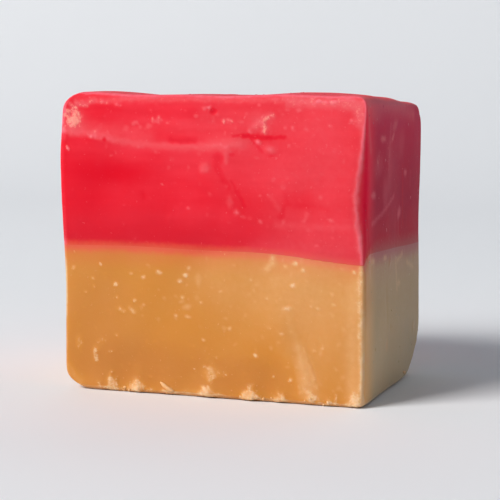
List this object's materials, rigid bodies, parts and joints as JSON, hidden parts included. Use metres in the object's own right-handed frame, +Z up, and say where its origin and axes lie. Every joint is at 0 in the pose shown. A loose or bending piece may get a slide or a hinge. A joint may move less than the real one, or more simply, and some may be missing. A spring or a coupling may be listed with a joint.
{
  "type": "fudge cube",
  "caption": "Hand-cut cube of soft fudge, with a red layer set on a caramel layer, rounded edges and a flat base.",
  "frame": {"origin": "middle of the cube's bounding box, at the height of the flat base that it stands on", "axes": "+Z up, from the caramel layer to the red layer; X along the wide cut face, which looks along -Y"},
  "size_m": [0.0346, 0.0276, 0.0324],
  "materials": {
    "caramel_fudge": "smooth waxy fudge with a soft sheen, pale dry specks and pale rubbed edges",
    "red_fudge": "smooth waxy fudge with a soft sheen, pale pink rubbed edges and a few flaky spots"
  },
  "bodies": {
    "root": {"caramel_layer": "caramel_fudge", "red_layer": "red_fudge"}
  },
  "joints": []
}
